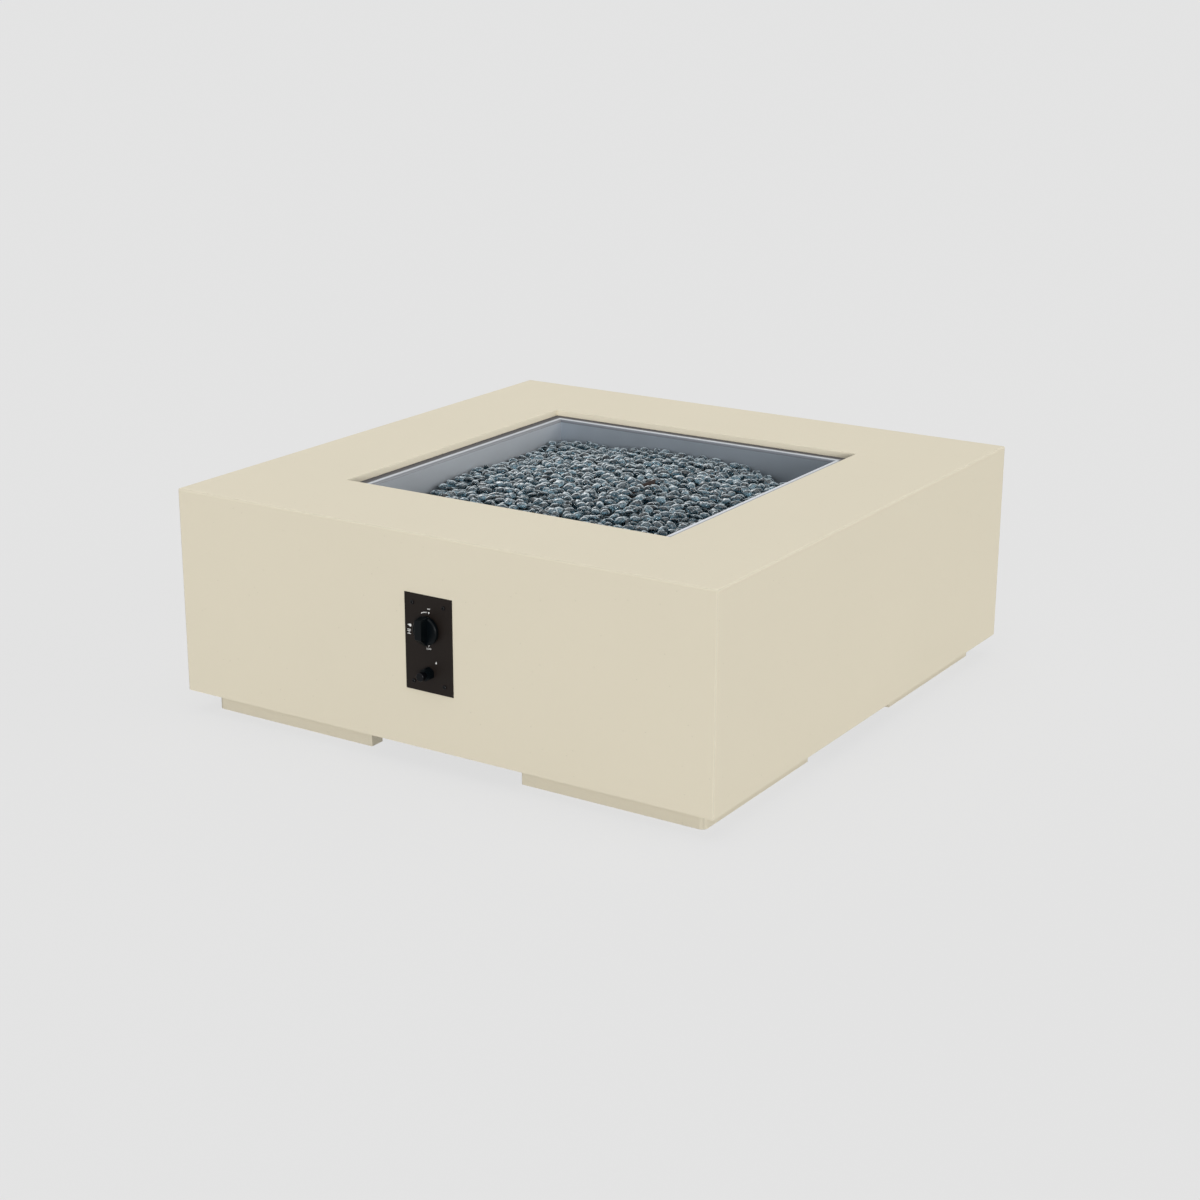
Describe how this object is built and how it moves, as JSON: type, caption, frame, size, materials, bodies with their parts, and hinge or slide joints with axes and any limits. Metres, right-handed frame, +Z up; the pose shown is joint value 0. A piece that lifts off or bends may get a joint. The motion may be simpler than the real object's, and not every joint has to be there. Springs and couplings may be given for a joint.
{
  "type": "gas fire pit table",
  "caption": "Low square concrete table with a sunken gas burner pan full of glass drops, and a front panel with a control knob and a push-button igniter.",
  "frame": {"origin": "floor level, centre of the whole object's plan, knob and button included", "axes": "+Z up, the control panel faces -Y, +X to the right when facing the panel"},
  "size_m": [1.0668, 1.0978, 0.405],
  "materials": {
    "concrete": "fine cast concrete, cream, matt sealed",
    "stainless": "brushed stainless sheet and tube",
    "zinc_steel": "zinc-plated steel",
    "spring_steel": "plain spring steel",
    "gasket_tape": "black heat-proof tape",
    "brass": "machined brass",
    "copper": "drawn copper",
    "cast_aluminium": "die-cast, as cast",
    "panel_paint": "dark brown satin powder coat",
    "hood_steel": "heat-browned steel",
    "black_steel": "blackened steel",
    "knob_plastic": "black moulded plastic, satin",
    "button_plastic": "black moulded plastic, polished",
    "ceramic": "white glazed ceramic",
    "lead_sleeve": "red-brown silicone sleeve",
    "fire_glass": "blue-grey glass drops"
  },
  "bodies": {
    "table": {"concrete_shell": "concrete", "foot_front_left": "concrete", "foot_front_right": "concrete", "foot_back_left": "concrete", "foot_back_right": "concrete", "foot_bolts": "zinc_steel", "foot_washers": "zinc_steel", "foot_inserts": "brass", "pan_gasket": "gasket_tape", "burner_pan": "stainless", "burner": "stainless", "burner_stands": "stainless", "burner_locknuts": "zinc_steel", "air_mixer": "brass", "orifice_fitting": "brass", "flex_hose": "stainless", "hose_nuts": "brass", "pilot_hood": "hood_steel", "pilot_screws": "zinc_steel", "pilot_bracket": "stainless", "electrode_insulator": "ceramic", "electrode_rod": "stainless", "thermocouple": "copper", "thermocouple_nut": "brass", "ignition_lead": "lead_sleeve", "thermocouple_lead": "copper", "fire_glass": "fire_glass", "control_panel": "panel_paint", "panel_screws": "black_steel", "panel_back_plate": "zinc_steel", "panel_nuts": "zinc_steel", "gas_valve_body": "cast_aluminium", "valve_bonnet": "cast_aluminium", "valve_screws": "zinc_steel", "gas_inlet_fitting": "brass", "gas_outlet_fitting": "brass", "safety_spring": "spring_steel", "safety_magnet": "brass", "lead_nut": "brass", "igniter_body": "knob_plastic", "igniter_nut": "knob_plastic", "igniter_spring": "spring_steel"},
    "plug": {"valve_plug": "brass", "stem_spring": "spring_steel"},
    "knob": {"control_knob": "knob_plastic", "valve_stem": "zinc_steel", "stem_clip": "spring_steel"},
    "safety": {"safety_disc": "brass"},
    "button": {"igniter_button": "button_plastic"}
  },
  "joints": [
    {"name": "knob_turn", "type": "hinge", "parent": "table", "child": "plug", "pos_m": [0, -0.5179, 0.247], "axis": [0, -1, 0], "range_deg": [0, 180]},
    {"name": "knob_push", "type": "slide", "parent": "plug", "child": "knob", "axis": [0, 1, 0], "range_m": [0, 0.004], "stiffness_N_per_m": 1200, "springref_m": -0.003, "deforming": ["stem_spring"]},
    {"name": "safety_lift", "type": "slide", "parent": "table", "child": "safety", "axis": [0, 1, 0], "range_m": [0, 0.004], "stiffness_N_per_m": 100, "springref_m": -0.004, "deforming": ["safety_spring"]},
    {"name": "igniter_push", "type": "slide", "parent": "table", "child": "button", "axis": [0, 1, 0], "range_m": [0, 0.006], "stiffness_N_per_m": 700, "springref_m": -0.003, "deforming": ["igniter_spring"]}
  ],
  "couplings": [
    {"joint": "safety_lift", "follows": "knob_push", "ratio": 1}
  ]
}
